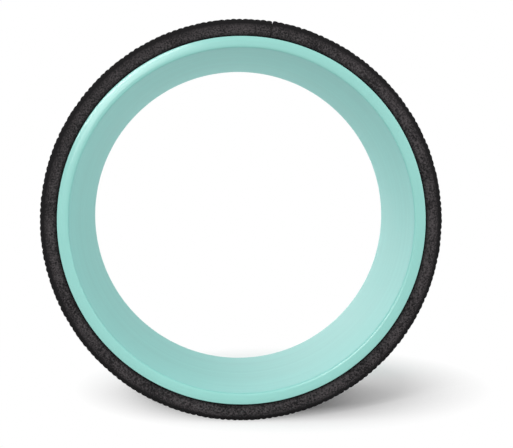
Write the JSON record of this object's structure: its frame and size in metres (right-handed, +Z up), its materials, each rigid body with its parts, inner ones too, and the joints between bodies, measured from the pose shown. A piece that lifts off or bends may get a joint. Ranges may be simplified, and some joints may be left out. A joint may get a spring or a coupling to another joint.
{
  "type": "back roller wheel",
  "caption": "Rigid plastic hoop with a thick foam pad bonded round it, for rolling out the back: wide open bore, rounded pad edges and a spine channel round the tread.",
  "frame": {"origin": "centre of the wheel: on its rolling axis, halfway between the two rims. The tread is pressed level by 0.5 mm where it stands on the floor, so the box centre lies 0.25 mm above it", "axes": "+Z up with the wheel standing on its tread, +Y along the rolling axis from the front rim to the back rim, +X to the right seen from the front"},
  "size_m": [0.305, 0.127, 0.3045],
  "materials": {
    "mint_plastic": "satin",
    "black_foam": "matte",
    "contact_adhesive": "satin",
    "seam_glue": "satin"
  },
  "bodies": {
    "root": {"core_ring": "mint_plastic", "foam_pad": "black_foam", "adhesive_film": "contact_adhesive", "seam_glue": "seam_glue"}
  },
  "joints": []
}
